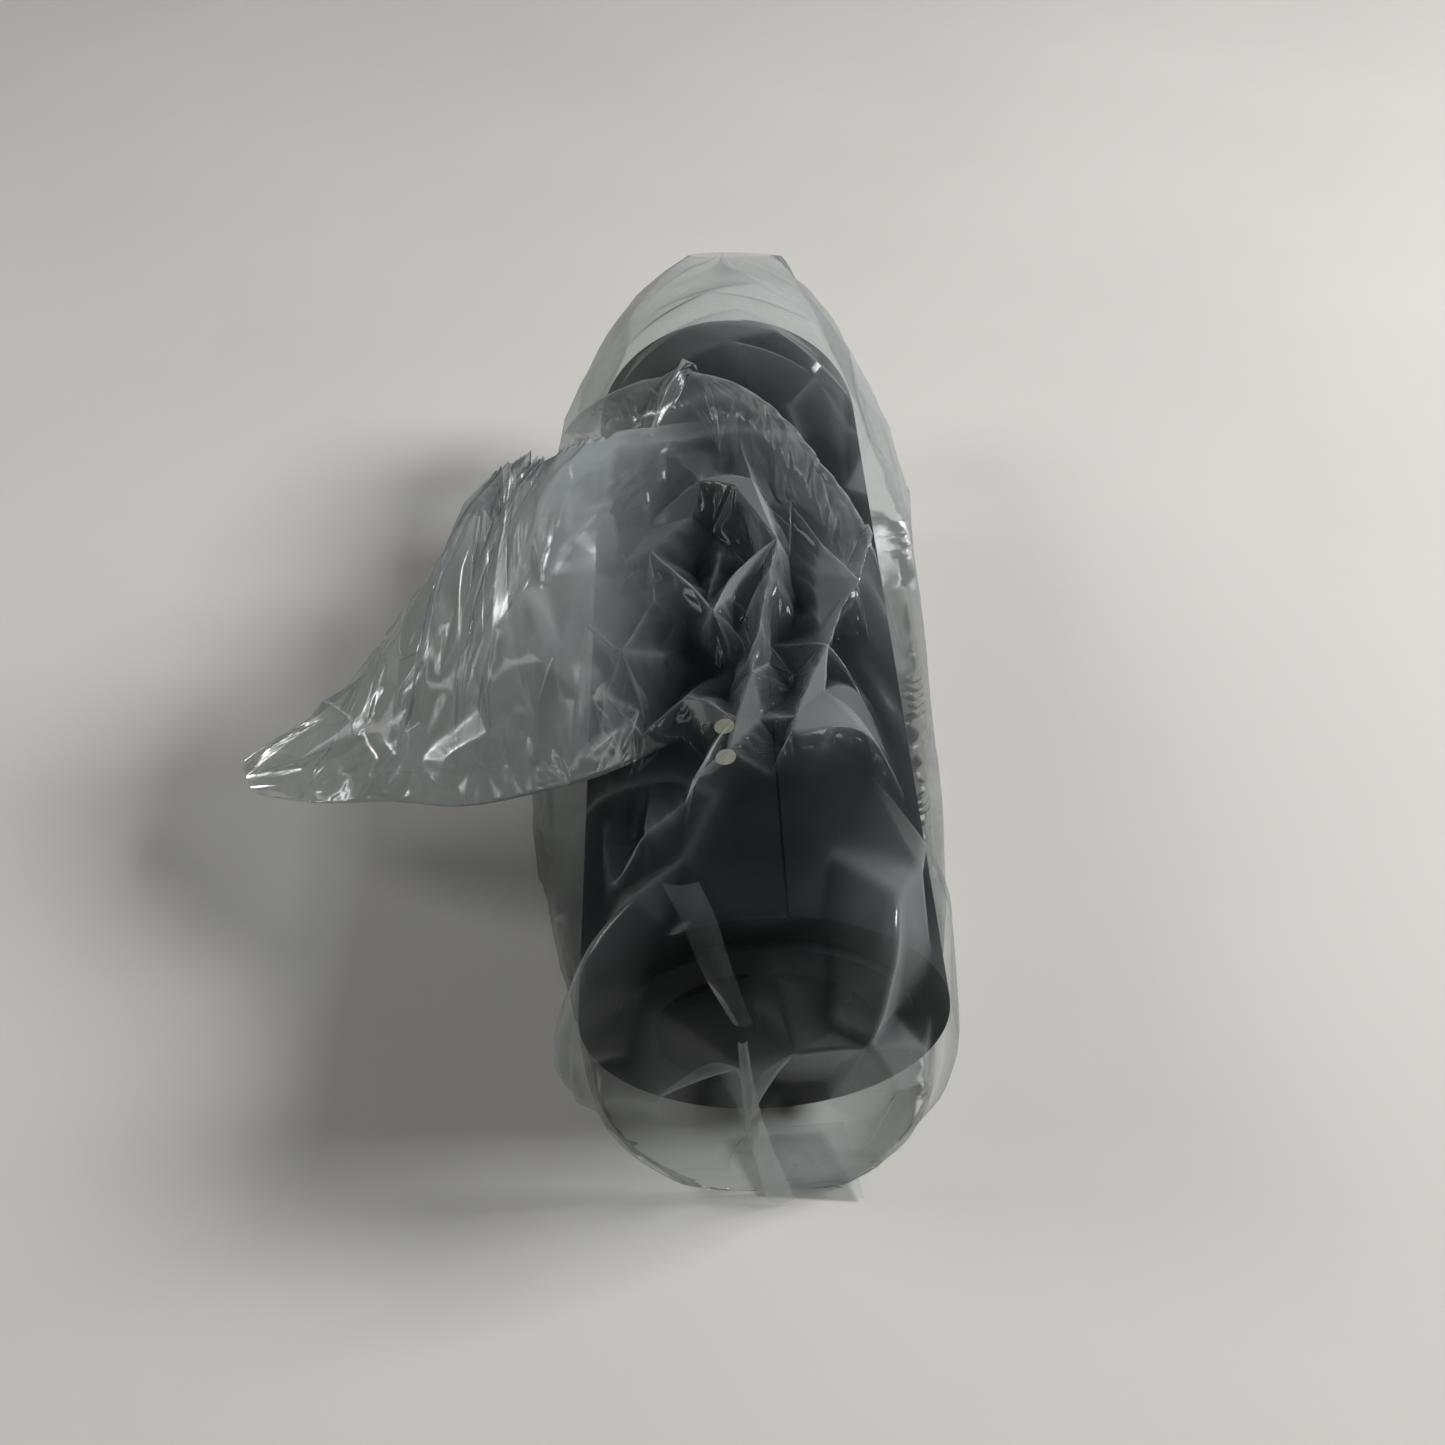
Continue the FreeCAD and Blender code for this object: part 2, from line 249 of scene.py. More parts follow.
def film_material(name, settings):
    """Clear film: mostly see-through, milky by its haze attribute, with a fresnel shine."""
    material, nodes, links, output = new_material(name)
    clear = nodes.new("ShaderNodeBsdfTransparent")
    clear.inputs["Color"].default_value = (0.96, 0.97, 0.97, 1)
    milk = nodes.new("ShaderNodeBsdfDiffuse")
    through = nodes.new("ShaderNodeBsdfTranslucent")
    both = nodes.new("ShaderNodeMixShader")
    both.inputs["Fac"].default_value = 0.4
    links.new(milk.outputs["BSDF"], both.inputs[1])
    links.new(through.outputs["BSDF"], both.inputs[2])
    cloud = add_noise(nodes, links, 60, 5)
    tone = add_ramp(nodes, links, cloud.outputs["Fac"],
                    (0.3, shaded(settings.tint, 0.9)), (0.7, tuple(settings.tint)))
    links.new(tone.outputs["Color"], milk.inputs["Color"])
    links.new(tone.outputs["Color"], through.inputs["Color"])
    haze = nodes.new("ShaderNodeAttribute")
    haze.attribute_name = "haze"
    grazing = nodes.new("ShaderNodeLayerWeight")
    grazing.inputs["Blend"].default_value = 0.35
    swell = nodes.new("ShaderNodeMath")
    swell.operation = "MULTIPLY_ADD"
    links.new(grazing.outputs["Facing"], swell.inputs[0])
    swell.inputs[1].default_value = 1.9
    swell.inputs[2].default_value = 0.55
    share = nodes.new("ShaderNodeMath")
    share.operation = "MULTIPLY"
    share.use_clamp = True
    links.new(swell.outputs["Value"], share.inputs[0])
    links.new(haze.outputs["Fac"], share.inputs[1])
    film = nodes.new("ShaderNodeMixShader")
    links.new(share.outputs["Value"], film.inputs["Fac"])
    links.new(clear.outputs["BSDF"], film.inputs[1])
    links.new(both.outputs["Shader"], film.inputs[2])
    shine = nodes.new("ShaderNodeBsdfGlossy")
    smear = add_noise(nodes, links, 220, 3)
    rough = add_ramp(nodes, links, smear.outputs["Fac"],
                     (0.3, (settings.gloss_roughness * 0.85,)), (0.7, (settings.gloss_roughness * 1.2,)))
    links.new(rough.outputs["Color"], shine.inputs["Roughness"])
    wrinkle = add_bump(nodes, links, smear.outputs["Fac"], 0.05, 0.0002)
    links.new(wrinkle.outputs["Normal"], shine.inputs["Normal"])
    fresnel = nodes.new("ShaderNodeFresnel")
    fresnel.inputs["IOR"].default_value = 1.5
    links.new(wrinkle.outputs["Normal"], fresnel.inputs["Normal"])
    sheen = nodes.new("ShaderNodeMath")
    sheen.operation = "MULTIPLY"
    links.new(fresnel.outputs["Fac"], sheen.inputs[0])
    body = nodes.new("ShaderNodeAttribute")
    body.attribute_name = "shine"
    links.new(body.outputs["Fac"], sheen.inputs[1])
    whole = nodes.new("ShaderNodeMixShader")
    links.new(sheen.outputs["Value"], whole.inputs["Fac"])
    links.new(film.outputs["Shader"], whole.inputs[1])
    links.new(shine.outputs["BSDF"], whole.inputs[2])
    links.new(whole.outputs["Shader"], output.inputs["Surface"])
    return material


# ---------------------------------------------------------------- the stage

class ROLL_OT_stage(bpy.types.Operator):
    """Add the pale sweep, the soft lights and the camera"""
    bl_idname = "backdrop_roll.stage"
    bl_label = "Stage"

    def execute(self, context):
        settings = context.scene.roll_stage
        floor_radius, bend, wall_top, sides = 1.15, 0.6, 1.9, 96
        profile = [(0.02, 0.0), (0.3, 0.0), (0.7, 0.0)] + [
            (floor_radius + bend * math.sin(a), bend * (1 - math.cos(a)))
            for a in np.linspace(0, math.pi / 2, 16)
        ] + [(floor_radius + bend, wall_top)]
        turns = np.linspace(0, 2 * math.pi, sides, endpoint=False)
        points = [(radius * math.cos(turn), radius * math.sin(turn), z)
                  for radius, z in profile for turn in turns]
        faces = grid_faces(len(profile), sides, closed=True)
        faces.append(tuple(reversed(range(sides))))
        sweep = mesh_object("sweep", points, faces)
        sweep.data.materials.append(solid_material(
            "sweep_paper", settings.floor_colour, 0.025, 9, (1, 1, 1), (0.75, 0.9), 0.0002))
        for name, place, aim, side, power, spread in (
            ("right_soft", (1.02, 0.116, 0.765), (0.04, 0.07, 0.03), 0.38, 10.0, 135),
            ("left_soft", (-0.84, 0.12, 0.70), (0, 0, 0.03), 0.34, 1.5, 135),
            ("front_soft", (0.05, -0.30, 1.20), (0, -0.05, 0), 0.5, 0.22, 140),
        ):
            data = bpy.data.lights.new(name, "AREA")
            data.size = side
            data.energy = power
            data.spread = math.radians(spread)
            lamp = bpy.data.objects.new(name, data)
            lamp.location = place
            lamp.visible_camera = False
            lamp.rotation_euler = (Vector(aim) - Vector(place)).to_track_quat("-Z", "Y").to_euler()
            context.scene.collection.objects.link(lamp)
        world = bpy.data.worlds.new("soft_room")
        world.use_nodes = True
        world.node_tree.nodes["Background"].inputs["Color"].default_value = (0.95, 0.97, 1.0, 1)
        world.node_tree.nodes["Background"].inputs["Strength"].default_value = 0.015
        context.scene.world = world
        camera = bpy.data.objects.new("camera", bpy.data.cameras.new("camera"))
        camera.data.lens = settings.lens
        camera.data.sensor_width = 36
        camera.data.clip_start = 0.01
        camera.location = CAMERA_PLACE
        camera.rotation_euler = (math.pi / 2 - settings.camera_tilt, 0, -CAMERA_PAN)
        context.scene.collection.objects.link(camera)
        context.scene.camera = camera
        context.scene.view_settings.view_transform = "Standard"
        context.scene.cycles.transparent_max_bounces = 32
        return {"FINISHED"}


# ---------------------------------------------------------------- the roll

class ROLL_OT_paper(bpy.types.Operator):
    """Wind the black paper: laps on the ends, and the last lap with its free edge"""
    bl_idname = "backdrop_roll.paper"
    bl_label = "Paper"

    def execute(self, context):
        settings = context.scene.roll_sizes
        inner = (CORE_HIGH.z - CORE_LOW.z) / 2
        outer = (WINDING_HIGH.z - WINDING_LOW.z) / 2
        lap = (LAP_HIGH.z - LAP_LOW.z) / 2
        rng = np.random.default_rng(7)
        laps = settings.wound_laps
        radii = np.linspace(inner, outer, laps + 1)
        setback = np.concatenate([rng.uniform(0.2, 1.0, laps) * settings.lap_step, [0.0]])
        profile = []
        for number in range(laps):
            ends = HALF_LENGTH - setback[number]
            profile += [(radii[number] + 0.00003, ends), (radii[number + 1] - 0.00003, ends),
                        (radii[number + 1], ends - settings.lap_step)]
        profile = profile[:-1]
        profile += [(outer - 0.0001, HALF_LENGTH - 0.0002), (outer, HALF_LENGTH - 0.0008)]
        whole = [(radius, along) for radius, along in profile] + \
                [(radius, -along) for radius, along in reversed(profile)]
        steps = 144
        points = []
        edge_turn = math.asin(0.003 / lap)
        for step in range(steps):
            turn = edge_turn + 2 * math.pi * step / (steps - 1)
            grow = (lap - outer) * (1 - step / (steps - 1))
            for radius, along in whole:
                rise = radius + (grow if radius > outer - 0.00015 else 0)
                points.append((rise * math.sin(turn), along, AXIS_HEIGHT + rise * math.cos(turn)))
        paper = mesh_object("wound_paper", points, grid_faces(steps, len(whole)), smooth=False)
        paper.data.shade_smooth()
        paper.data.set_sharp_from_angle(angle=math.radians(35))
        paper.data.materials.append(solid_material(
            "dyed_paper", settings.paper_colour, 0.12, 260, (1, 0.2, 1), (0.65, 0.78), 0.0000015, 0.08))
        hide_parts("paper_winding", "paper_outer_lap")
        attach(paper, "roll")
        return {"FINISHED"}


class ROLL_OT_core(bpy.types.Operator):
    """Give the core, the plugs and the glue dots their finishes"""
    bl_idname = "backdrop_roll.core"
    bl_label = "Core and plugs"

    def execute(self, context):
        settings = context.scene.roll_sizes
        board = solid_material("wound_board", settings.board_colour, 0.25, 90, (1, 0.3, 1),
                               (0.8, 0.95), 0.0001)
        moulded = solid_material("moulded_black", settings.plug_colour, 0.12, 300, (1, 1, 1),
                                 (0.62, 0.76), 0.00001, 0.08)
        glue = solid_material("glue_dot", settings.glue_colour, 0.12, 400, (1, 1, 1), (0.35, 0.5), 0.00005)
        for node, material in (("core_tube", board), ("end_plug_front", moulded),
                               ("end_plug_rear", moulded), ("tail_seals", glue)):
            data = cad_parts[node].data
            data.materials.clear()
            data.materials.append(material)
        return {"FINISHED"}


# ---------------------------------------------------------------- film shapes

def split_triangles(points, triangles):
    """Cut every triangle in four at the middles of its sides."""
    sides = np.sort(np.concatenate([triangles[:, [0, 1]], triangles[:, [1, 2]], triangles[:, [2, 0]]]), 1)
    unique, which = np.unique(sides, axis=0, return_inverse=True)
    middle_of = (which.reshape(3, -1) + len(points)).T
    a, b, c = triangles.T
    ab, bc, ca = middle_of.T
    corners = [np.stack(trio, 1) for trio in ((a, ab, ca), (ab, b, bc), (ca, bc, c), (ab, bc, ca))]
    return np.concatenate([points, points[unique].mean(1)]), np.concatenate(corners)


def read_grid(grid, across, along):
    """Values of a grid of points at shares across and along it, both from 0 to 1."""
    rows, columns = grid.shape[:2]
    row = np.clip(along * (rows - 1), 0, rows - 1.0001)
    column = np.clip(across * (columns - 1), 0, columns - 1.0001)
    i, j = row.astype(int), column.astype(int)
    s, t = (row - i)[:, None], (column - j)[:, None]
    near = grid[i, j] * (1 - t) + grid[i, j + 1] * t
    far = grid[i + 1, j] * (1 - t) + grid[i + 1, j + 1] * t
    return near * (1 - s) + far * s


def place_on(grid, target):
    """Shares across and along a grid of points of the place nearest to a point."""
    rows, columns = grid.shape[:2]
    nearest = np.argmin(((grid - np.asarray(target, float)) ** 2).sum(2))
    return (nearest % columns) / (columns - 1), (nearest // columns) / (rows - 1)


def creased_sheet(grid, outward, ridges, cell, seed, tall, flush, levels=3,
                  closed=False, stretch=1.0, calm=2.0):
    """Film creased along given ridges and along a random net between them.

    Each ridge is a list of (point, height). Between the creases the film hangs
    in a hollow, so it lies flush where a crease ends. Past the share called calm
    the random net stays low. Gives the points, the triangles, each point's shares
    across and along the grid, how far it stands off it, and how near a crease it is.
    """
    rng = np.random.default_rng(seed)
    width = np.linalg.norm(np.diff(grid, axis=1), axis=2).sum(1).mean()
    length = np.linalg.norm(np.diff(grid, axis=0), axis=2).sum(0).mean()
    flat, heights, sharp, sides = [], [], [], []
    for ridge in ridges:
        for number, (point, height) in enumerate(ridge):
            across, along = place_on(grid, point)
            flat.append((across * width, along * length))
            heights.append(height)
            sharp.append(1.0)
            if number:
                sides.append((len(flat) - 2, len(flat) - 1))
    fixed = np.array(flat).reshape(-1, 2)
    columns, rows = max(3, round(width / cell)), max(3, round(length / (cell * stretch)))
    border = np.where(rng.random(rows + 1) < flush, 0, rng.random(rows + 1)) * tall
    for row in range(rows + 1):
        for column in range(columns + 1):
            edge = column in (0, columns) or row in (0, rows)
            nudge = np.zeros(2) if edge else rng.uniform(-0.42, 0.42, 2)
            place = np.array([(column + nudge[0]) * width / columns, (row + nudge[1]) * length / rows])
            if len(fixed) and np.min(np.linalg.norm(fixed - place, axis=1)) < cell * 0.55 and not edge:
                continue
            height = 0.0 if rng.random() < flush else rng.random() * tall
            if row > rows * calm:
                height *= 0.2
            if edge:
                height = border[row] if closed else 0.0
            flat.append(tuple(place))
            heights.append(height)
            sharp.append(float(height > 0.55 * tall and not edge))
    found = delaunay_2d_cdt([Vector(place) for place in flat], sides, [], 0, 1e-4)
    verts, triangles, origins = found[0], np.array(found[2]), found[3]
    heights = np.array([np.mean([heights[k] for k in group]) if group else 0.3 * tall for group in origins])
    sharp = np.array([max(sharp[k] for k in group) if group else 0.0 for group in origins])
    net = np.column_stack([np.array([tuple(v) for v in verts]), heights, sharp])
    for _ in range(levels):
        net, triangles = split_triangles(net, triangles)
    top = max(tall, net[:, 2].max())
    lift = top * (np.clip(net[:, 2], 0, None) / top) ** 1.3
    across, along = net[:, 0] / width, net[:, 1] / length
    base = read_grid(grid, across, along)
    away = read_grid(outward, across, along)
    points = base + away * lift[:, None]
    if closed:
        left = {round(place, 4): number for number, place in enumerate(net[:, 1]) if net[number, 0] < 1e-3}
        swap = np.arange(len(net))
        for number in np.flatnonzero(net[:, 0] > width - 1e-3):
            swap[number] = left.get(round(net[number, 1], 4), number)
        triangles = swap[triangles]
        used, triangles = np.unique(triangles, return_inverse=True)
        triangles = triangles.reshape(-1, 3)
        net, points = net[used], points[used]
        across, along, lift = across[used], along[used], lift[used]
    return points, triangles, across, along, lift, net[:, 3] ** 10


def film_object(name, points, faces, haze, shine, material):
    """A piece of film from points in millimetres, with its milkiness and shine stored on the mesh."""
    piece = mesh_object(name, np.asarray(points) * MM, np.asarray(faces).tolist())
    for label, values in (("haze", haze), ("shine", shine)):
        layer = piece.data.attributes.new(label, "FLOAT", "POINT")
        layer.data.foreach_set("value", np.asarray(values, np.float32))
    piece.data.materials.append(material)
    return piece


# how the film round the roll changes along it: place, half width, half height and middle
# of its round part, then its left and right foot on the floor and the foot's height
TUBE_STATIONS = (
    (-91.8, 9, 0.4, 0.8, -5, 14, 0.3),
    (-90.0, 18, 9, 9.4, -11, 16, 0.3),
    (-87.4, 25, 19, 19.4, -17, 19, 0.3),
    (-84.6, 28.8, 26.2, 26.6, -22, 23, 0.3),
    (-81.2, 29.9, 29.0, 29.5, -25, 26, 0.3),
    (-78.2, 30.2, 30.2, 30.65, -27, 28, 0.3),
    (-70.0, 30.1, 30.1, 30.55, -30, 30, 0.3),
    (-58.0, 30.1, 30.1, 30.55, -33, 34, 0.3),
    (-27.0, 30.1, 30.1, 30.55, -41, 37, 0.3),
    (5.0, 30.1, 30.1, 30.55, -45, 40, 0.3),
    (50.0, 30.1, 30.1, 30.55, -46, 44, 0.3),
    (76.0, 30.6, 30.1, 30.55, -45, 46, 0.3),
    (84.0, 31, 29, 32, -42, 43, 1.5),
    (94.0, 28, 20, 40, -33, 35, 18),
    (103.0, 21, 9, 48, -20, 23, 42),
    (110.0, 14, 3, 52, -13, 18, 51),
    (115.0, 8, 0.6, 54, -6, 15, 53.5),
)

# folds that hold the film off the roll at its shoulders: each runs along the roll
SHOULDER_FOLDS = (
    ((-60, -33, 20), (-27, -37, 26), (5, -40, 32), (52, -40, 33), (78, -37, 36), (95, -28, 44)),
    ((-60, 32, 22), (-20, 36, 26), (25, 38.5, 27), (60, 38, 33), (80, 33, 40), (98, 23, 50)),
)

# sharp folds of the film round the roll: each point with how far the fold stands up
TUBE_RIDGES = (
    (((-24, -83, 23), 1.5), ((-17, -84, 30), 3.5), ((-4, -82, 41), 5.5), ((3, -81, 45), 6.5),
     ((13, -81, 45), 6.5), ((22, -82, 38), 3)),
    (((3, -81, 45), 6.5), ((-3, -86, 22), 3.5), ((-6, -88, 8), 1)),
    (((13, -81, 45), 6.5), ((18, -84, 30), 4), ((15, -87, 12), 2)),
    (((13, -81, 45), 6.5), ((9, -85, 26), 1.5), ((16, -86, 20), 3)),
    (((26, -57, 50), 3), ((21, -68, 54), 5.5), ((15, -75, 57), 6.5), ((8, -81, 48), 4.5)),
    (((33, -40, 40), 1), ((32, -62, 34), 2.5), ((28, -80, 26), 2), ((21, -87, 8), 1)),
    (((-12, -67, 61), 2), ((-18, -73, 57), 4.5), ((-23, -78, 50), 5.5), ((-26, -81, 36), 5),
     ((-26, -83, 22), 3)),
    (((-18, 60, 56), 0.5), ((0, 66, 61), 2), ((18, 62, 56), 0.5)),
    (((-24, 68, 50), 0.5), ((-8, 72, 60), 3), ((10, 71, 60), 3), ((26, 66, 48), 1)),
    (((-22, 80, 52), 1), ((-4, 82, 61), 3.5), ((16, 80, 58), 3), ((28, 74, 46), 1)),
    (((-20, 74, 54), 0.5), ((2, 78, 61), 2.5), ((20, 72, 55), 0.5)),
    (((-16, 86, 55), 0.5), ((6, 88, 60), 2.5), ((20, 84, 54), 0.5)),
    (((24, 30, 54), 1), ((30, 52, 46), 3), ((28, 84, 48), 2)),
    (((12, 48, 60), 0.5), ((20, 66, 57), 2.5), ((22, 90, 52), 1)),
)


def section_radii(middle_height, half_width, half_height, corners, turns):
    """Distances from a section's middle to film pulled tight round an oval and some corners."""
    normals = np.linspace(0, 2 * math.pi, 1080, endpoint=False)
    support = np.hypot(half_width * np.sin(normals), half_height * np.cos(normals))
    for x, z in corners:
        support = np.maximum(support, x * np.sin(normals) + (z - middle_height) * np.cos(normals))
    facing = np.cos(turns[:, None] - normals[None, :])
    return np.where(facing > 0.02, support[None, :] / np.maximum(facing, 0.02), 1e9).min(1)


def tube_grid(rows_wanted=170, columns=181):
    """A smooth grid of points over the film round the roll, and the way out of it at each."""
    stations = np.array(TUBE_STATIONS)
    dense = np.array([np.interp(np.linspace(0, 1, 2000), np.linspace(0, 1, len(stations)), stations[:, k])
                      for k in range(7)]).T
    steps = np.hypot(np.diff(dense[:, 0]), np.diff(dense[:, 2] + dense[:, 3]))
    travel = np.concatenate([[0], np.cumsum(steps)])
    stops = np.linspace(0, travel[-1], rows_wanted)
    rows = np.array([np.interp(stops, travel, dense[:, k]) for k in range(7)]).T
    turns = np.linspace(-math.pi, math.pi, columns)
    points = []
    for along, width, height, mid, left, right, foot in rows:
        corners = [(left, foot), (right, foot)]
        for fold in SHOULDER_FOLDS:
            fold = np.array(fold, float)
            if fold[0, 0] <= along <= fold[-1, 0]:
                corners.append((np.interp(along, fold[:, 0], fold[:, 1]),
                                np.interp(along, fold[:, 0], fold[:, 2])))
        radii = section_radii(mid, width, height, corners, turns)
        points.append(np.stack([radii * np.sin(turns), np.full(columns, along),
                                mid + radii * np.cos(turns)], 1))
    points = np.array(points)
    way = np.cross(np.gradient(points, axis=1), np.gradient(points, axis=0))
    way /= np.linalg.norm(way, axis=2, keepdims=True) + 1e-9
    middle_way = way[rows_wanted // 2, columns // 2]
    return points, way * (1 if middle_way[2] > 0 else -1)


def standoff(points):
    """How far points stand off the wound paper, in millimetres."""
    radial = np.hypot(points[:, 0], points[:, 2] - AXIS_HEIGHT / MM) - PAPER_RADIUS
    beyond = np.abs(points[:, 1]) - HALF_LENGTH / MM
    return np.where(beyond > 0, np.hypot(np.maximum(radial, 0), beyond), np.maximum(radial, 0))


def tube_film(seed=3):
    """The film round the roll: points, faces, lift off the smooth film, and nearness to a crease."""
    grid, outward = tube_grid()
    points, faces, _, _, lift, sharp = creased_sheet(grid, outward, TUBE_RIDGES, 9.5, seed, 1.9, 0.5,
                                                     closed=True, stretch=1.7)
    points[:, 2] = np.maximum(points[:, 2], 0.15)
    return points, faces, lift, sharp


FLUSH_GAP = 1.3          # folded film this near the paper, in millimetres, shows no milkiness
SIM_SCALE = 10           # the simulation runs on film ten times its size, where its contacts are steady
SIM_FRAMES = 20
SIM_DRIFT = 3.0          # the most that a point may move in it, in millimetres


def roll_collider():
    """A plain stand-in for the wound roll, for the film to rest on."""
    turns = np.linspace(0, 2 * math.pi, 72, endpoint=False)
    radius, half = 30.0, HALF_LENGTH / MM + 0.3
    points = [(radius * math.sin(turn), along, AXIS_HEIGHT / MM + radius * math.cos(turn))
              for along in np.linspace(-half, half, 32) for turn in turns]
    stand_in = mesh_object("roll_stand_in", np.array(points) * MM * SIM_SCALE,
                           grid_faces(32, 72, closed=True))
    stand_in.modifiers.new("Collision", "COLLISION")
    stand_in.collision.thickness_outer = 0.002
    stand_in.collision.cloth_friction = 8
    return stand_in


def settled(points, faces, hold, slack):
    """Film let go for a moment: it swells by its slack, buckles between held creases and rests."""
    stand_in = roll_collider()
    sheet = mesh_object("film_let_go", points * MM * SIM_SCALE, faces.tolist())
    group = sheet.vertex_groups.new(name="held")
    steps = np.round(hold * 10).astype(int)
    for step in np.unique(steps[steps > 0]):
        group.add(np.flatnonzero(steps == step).tolist(), step / 10, "REPLACE")
    cloth = sheet.modifiers.new("Cloth", "CLOTH")
    cloth.settings.quality = 6
    cloth.settings.mass = 0.02
    cloth.settings.tension_stiffness = 40
    cloth.settings.compression_stiffness = 40
    cloth.settings.shear_stiffness = 25
    cloth.settings.bending_stiffness = 2.5
    cloth.settings.air_damping = 2
    cloth.settings.shrink_min = -slack
    cloth.settings.vertex_group_mass = "held"
    cloth.settings.effector_weights.gravity = 0.15
    cloth.collision_settings.distance_min = 0.002
    cloth.collision_settings.use_self_collision = False
    cloth.point_cache.frame_end = SIM_FRAMES + 1
    scene = bpy.context.scene
    for frame_number in range(1, SIM_FRAMES + 1):
        scene.frame_set(frame_number)
    shown = sheet.evaluated_get(bpy.context.evaluated_depsgraph_get()).to_mesh()
    moved = np.zeros(len(points) * 3, np.float32)
    shown.vertices.foreach_get("co", moved)
    scene.frame_set(1)
    bpy.data.objects.remove(sheet)
    bpy.data.objects.remove(stand_in)
    drift = moved.reshape(-1, 3) / (MM * SIM_SCALE) - points
    far = np.linalg.norm(drift, axis=1, keepdims=True)
    return points + drift * np.minimum(1, SIM_DRIFT / np.maximum(far, 1e-6))


def refined(points, faces, *values):
    """Every triangle cut in four, and each value carried to the new points."""
    table, faces = split_triangles(np.column_stack([points, *values]), faces)
    return (table[:, :3], faces, *table[:, 3:].T)


def join(parts):
    """Several sheets as one: each is points, triangles, a haze and a shine."""
    points, faces, haze, shine, count = [], [], [], [], 0
    for place, trio, milk, gloss in parts:
        points.append(place)
        faces.append(np.asarray(trio) + count)
        haze.append(np.broadcast_to(milk, len(place)))
        shine.append(np.broadcast_to(gloss, len(place)))
        count += len(place)
    return tuple(np.concatenate(values) for values in (points, faces, haze, shine))


def grid_triangles(rows, columns):
    quads = np.array(grid_faces(rows, columns))
    return np.concatenate([quads[:, [0, 1, 2]], quads[:, [0, 2, 3]]])


# narrow strips where the film is pressed double: middle line and width
STRIPS = (
    (((-12.5, -73, 62.8), (-10, -78.0, 60.8), (-7.5, -83.0, 55), (-4.0, -87.0, 47)), (5.4, 5.0, 4.4, 2.8)),
    (((-4.0, -87.5, 43), (-3, -89.5, 31), (-1, -91.5, 18), (1.5, -93, 6), (2.5, -94, 1.2)),
     (1.4, 2.0, 3.0, 4.2, 4.6)),
)


def strip(path, widths):
    rows, columns = 30, 5
    middle = catmull(path, rows)
    width = catmull(np.array(widths)[:, None], rows)
    side = np.linspace(-0.5, 0.5, columns)
    points = np.repeat(middle[:, None, :], columns, 1)
    points[..., 0] += side[None, :] * width
    points[..., 1] -= 0.5 * (1 - (2 * side[None, :]) ** 2)
    return points.reshape(-1, 3), grid_triangles(rows, columns)


EAR_CORNERS = (((-3, -82, 2.5), (14, -81, 2.5)), ((0, -92.5, 1.0), (16.5, -94.0, 0.8)))


def floor_ear():
    """The corner of the bag that lies on the floor at the near end."""
    corners = np.array(EAR_CORNERS, float)
    grid = surface_through(corners, 20, 20)
    outward = np.broadcast_to([0.0, 0.0, 1.0], grid.shape).copy()
    points, faces, _, _, _, _ = creased_sheet(grid, outward, (), 4.0, 5, 1.4, 0.4)
    return points, faces


# the folded-back mouth: its near edge and its crest, each as turns from the top in
# degrees and places along the roll, from the left to the right
FOLD_NEAR = ((-52, -72), (-42, -77), (-30, -72), (-17, -64), (-8, -58.5), (9, -55), (31, -49), (52, -57))
FOLD_CREST = ((-66, 53), (-44, 46), (-28, 43), (-10, 40), (4, 33), (16, 22), (30, 5), (46, -22))
FOLD_RISE = (8.7, 9.1, 9.4, 9.4, 9.2, 9.0, 8.6, 5.5)


def on_roll(turn, along, off=1.0):
    """A point over the roll, from its turn from the top in degrees and its place along the roll."""
    reach = FILM_REACH + off
    turn = math.radians(turn)
    return (reach * math.sin(turn), along, AXIS_HEIGHT / MM + reach * math.cos(turn))


# sharp folds of the folded-back mouth: turn, place along the roll and how far they stand up
FOLD_RIDGES = (
    ((-44, 18, 3), (-29, 20, 4.5), (-12, 27, 3)),
    ((-30, 8, 2), (-12, 14, 4), (4, 12, 4.5), (8, -5, 6.5)),
    ((-2, 10, 5), (8, -5, 6.5), (-10, -20, 5), (-29, 1, 4), (-40, 4, 2)),
    ((8, -5, 6.5), (-1, -34, 4.5), (-5, -43, 4), (-21, -57, 2)),
    ((36, -2, 2), (33, -10, 5), (22, -26, 4.5), (10, -43, 4), (3, -53, 2)),
    ((-46, -28, 4), (-36, -38, 3.5), (-20, -36, 3), (-5, -43, 4)),
    ((-50, -10, 6), (-38, -22, 5), (-34, -40, 2)),
    ((-45, -66, 2), (-30, -62, 4), (-17, -55, 4.5), (-8, -50, 4.5), (9, -47, 4.5), (31, -43, 4),
     (47, -50, 2)),
)


